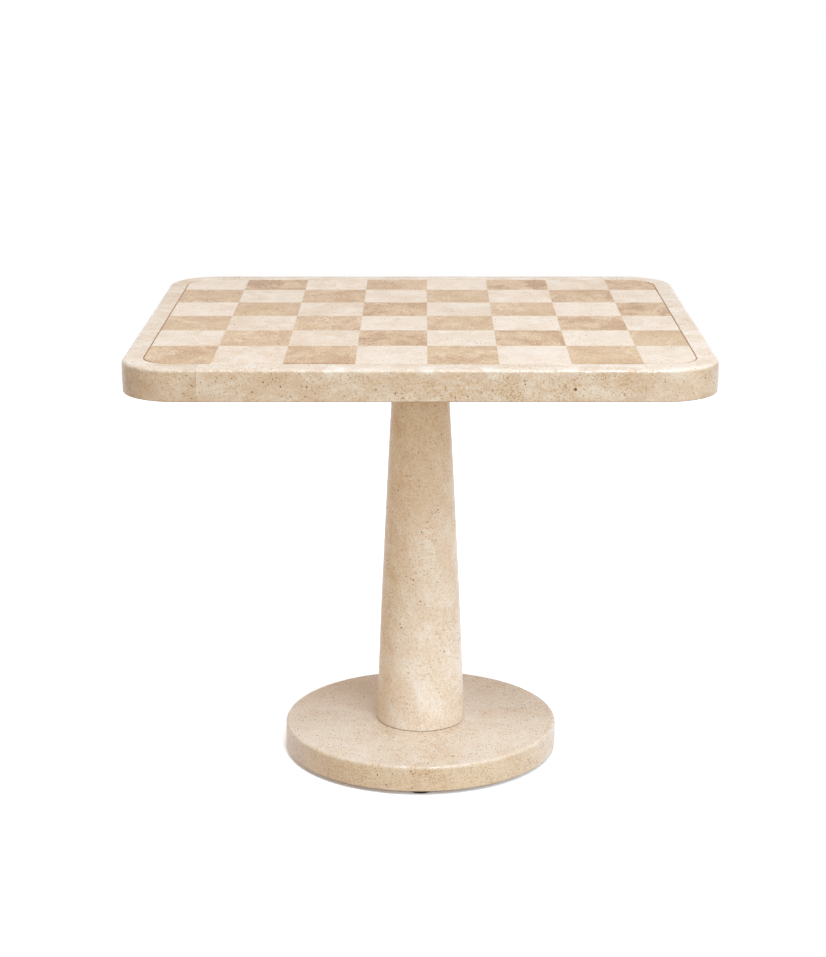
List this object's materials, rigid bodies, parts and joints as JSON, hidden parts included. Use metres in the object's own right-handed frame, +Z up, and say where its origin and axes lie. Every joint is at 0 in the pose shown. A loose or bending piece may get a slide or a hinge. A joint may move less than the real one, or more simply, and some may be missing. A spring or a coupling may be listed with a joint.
{
  "type": "pedestal chess table",
  "caption": "Stone pedestal table: a rounded rectangular top with an inlaid chequered board, a tapered round column and a round base on screw-adjusted feet.",
  "frame": {"origin": "on the floor, on the column's axis, in the middle of the top's outline", "axes": "+X to the right along the top's long side, +Y to the back, +Z up; the front faces -Y"},
  "size_m": [0.91, 0.841, 0.76],
  "materials": {
    "light_travertine": "honed, pale ivory with faint tan veins",
    "dark_travertine": "honed, tan with brown streaks and pits",
    "frame_travertine": "honed, cream, with polished rounded edges",
    "column_travertine": "honed, beige with blotchy diagonal veins",
    "base_travertine": "honed, fine speckled beige",
    "underside_travertine": "sawn, matt",
    "tile_adhesive": "matt grey adhesive",
    "plywood": "plain birch plywood",
    "plate_steel": "black powder coat",
    "zinc_steel": "zinc plated",
    "insert_brass": "turned",
    "black_rubber": "matt",
    "black_plastic": "satin"
  },
  "bodies": {
    "root": {"corner_front_left": "frame_travertine", "corner_front_right": "frame_travertine", "corner_back_left": "frame_travertine", "corner_back_right": "frame_travertine", "rail_front": "frame_travertine", "rail_back": "frame_travertine", "rail_left": "frame_travertine", "rail_right": "frame_travertine", "tiles_row_1_light": "light_travertine", "tiles_row_1_dark": "dark_travertine", "tiles_row_2_light": "light_travertine", "tiles_row_2_dark": "dark_travertine", "tiles_row_3_light": "light_travertine", "tiles_row_3_dark": "dark_travertine", "tiles_row_4_light": "light_travertine", "tiles_row_4_dark": "dark_travertine", "tiles_row_5_light": "light_travertine", "tiles_row_5_dark": "dark_travertine", "tiles_row_6_light": "light_travertine", "tiles_row_6_dark": "dark_travertine", "tile_bed": "tile_adhesive", "core_panel": "plywood", "underside_panel": "underside_travertine", "top_plate": "plate_steel", "top_plate_screws": "zinc_steel", "tie_rod": "zinc_steel", "top_washer": "zinc_steel", "top_nut": "zinc_steel", "base_nut": "zinc_steel", "base_washer": "zinc_steel", "top_spigot": "plate_steel", "base_spigot": "plate_steel", "column": "column_travertine", "foot_gasket": "black_rubber", "head_gasket": "black_rubber", "base_disc": "base_travertine", "base_plate": "plate_steel", "insert_front": "insert_brass", "insert_right": "insert_brass", "insert_back": "insert_brass", "insert_left": "insert_brass"},
    "front_sole": {"sole_front": "black_rubber"},
    "front_screw": {"hub_front": "black_plastic", "stem_front": "zinc_steel"},
    "right_sole": {"sole_right": "black_rubber"},
    "right_screw": {"hub_right": "black_plastic", "stem_right": "zinc_steel"},
    "back_sole": {"sole_back": "black_rubber"},
    "back_screw": {"hub_back": "black_plastic", "stem_back": "zinc_steel"},
    "left_sole": {"sole_left": "black_rubber"},
    "left_screw": {"hub_left": "black_plastic", "stem_left": "zinc_steel"}
  },
  "joints": [
    {"name": "front_foot_drop", "type": "slide", "parent": "root", "child": "front_sole", "axis": [0, 0, -1], "range_m": [0, 0.012]},
    {"name": "front_foot_turn", "type": "hinge", "parent": "front_sole", "child": "front_screw", "pos_m": [0, -0.204, 0.003], "axis": [0, 0, -1], "range_deg": [0, 2880]},
    {"name": "right_foot_drop", "type": "slide", "parent": "root", "child": "right_sole", "axis": [0, 0, -1], "range_m": [0, 0.012]},
    {"name": "right_foot_turn", "type": "hinge", "parent": "right_sole", "child": "right_screw", "pos_m": [0.204, 0, 0.003], "axis": [0, 0, -1], "range_deg": [0, 2880]},
    {"name": "back_foot_drop", "type": "slide", "parent": "root", "child": "back_sole", "axis": [0, 0, -1], "range_m": [0, 0.012]},
    {"name": "back_foot_turn", "type": "hinge", "parent": "back_sole", "child": "back_screw", "pos_m": [0, 0.204, 0.003], "axis": [0, 0, -1], "range_deg": [0, 2880]},
    {"name": "left_foot_drop", "type": "slide", "parent": "root", "child": "left_sole", "axis": [0, 0, -1], "range_m": [0, 0.012]},
    {"name": "left_foot_turn", "type": "hinge", "parent": "left_sole", "child": "left_screw", "pos_m": [-0.204, 0, 0.003], "axis": [0, 0, -1], "range_deg": [0, 2880]}
  ],
  "couplings": [
    {"joint": "front_foot_drop", "follows": "front_foot_turn", "m_per_rad": 0.00023873},
    {"joint": "right_foot_drop", "follows": "right_foot_turn", "m_per_rad": 0.00023873},
    {"joint": "back_foot_drop", "follows": "back_foot_turn", "m_per_rad": 0.00023873},
    {"joint": "left_foot_drop", "follows": "left_foot_turn", "m_per_rad": 0.00023873}
  ]
}
